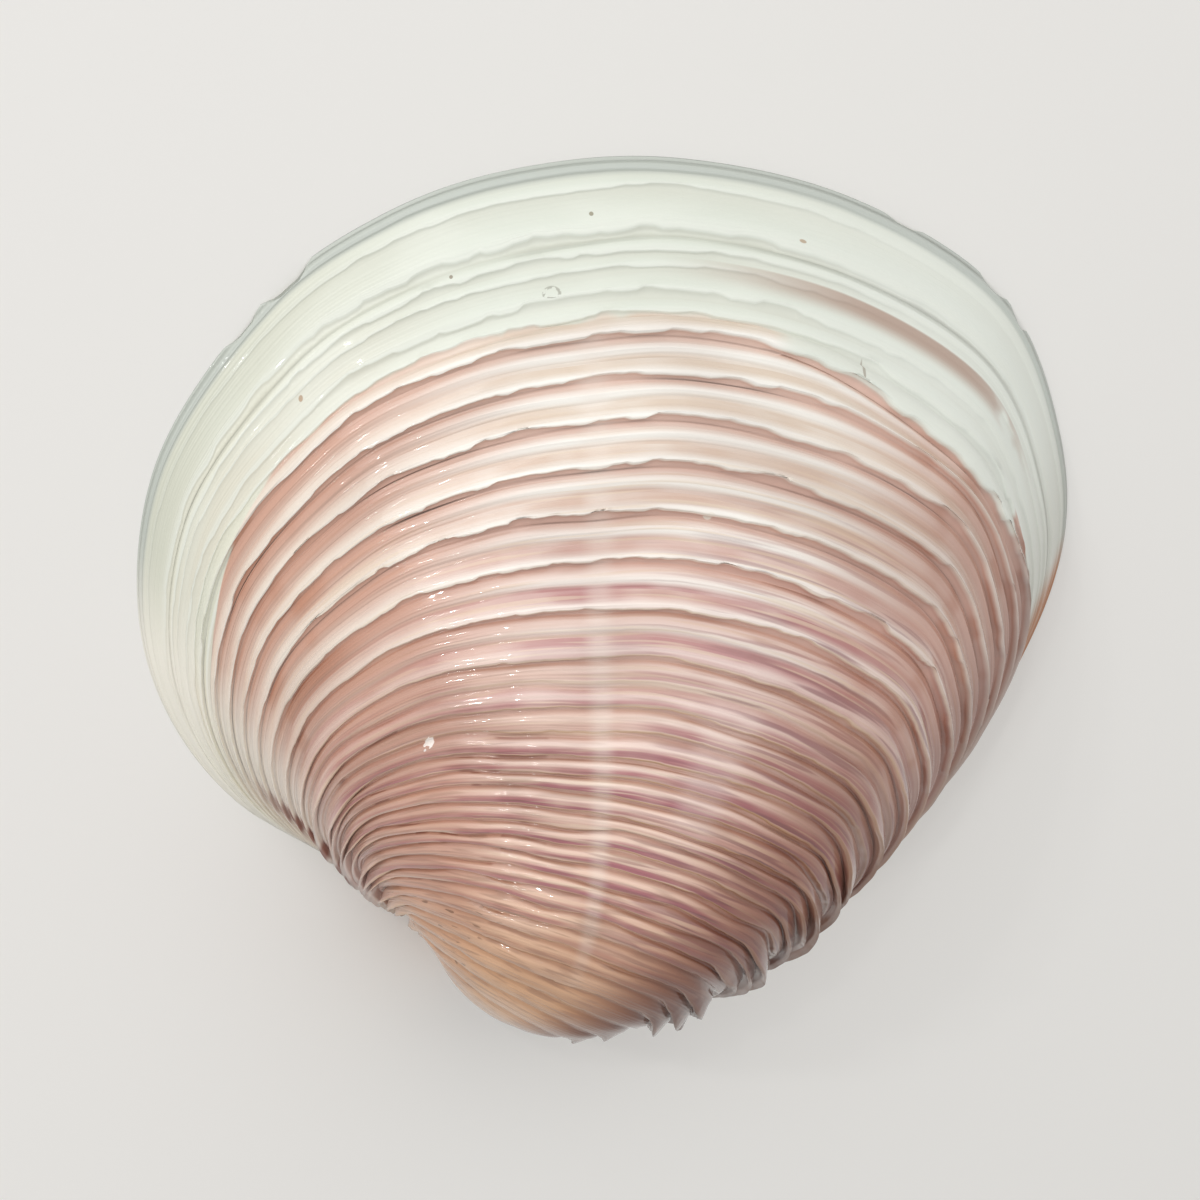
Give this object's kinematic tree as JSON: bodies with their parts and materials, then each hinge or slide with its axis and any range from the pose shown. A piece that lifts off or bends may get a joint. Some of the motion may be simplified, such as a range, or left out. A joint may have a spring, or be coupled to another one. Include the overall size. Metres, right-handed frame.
{
  "type": "clam shell valve",
  "caption": "Right valve of a ridged, lamellate tropical clam, lying hollow side down on its rim, with a forward-turned beak.",
  "frame": {"origin": "centre of the bounding box in plan, at the plane the rim rests on", "axes": "+X towards the hind end of the shell, +Y towards the ventral margin, away from the beak, +Z out of the valve's outer face"},
  "size_m": [0.038, 0.033, 0.0111],
  "materials": {
    "shell": "glossy porcelain"
  },
  "bodies": {
    "root": {"right_valve": "shell"}
  },
  "joints": []
}
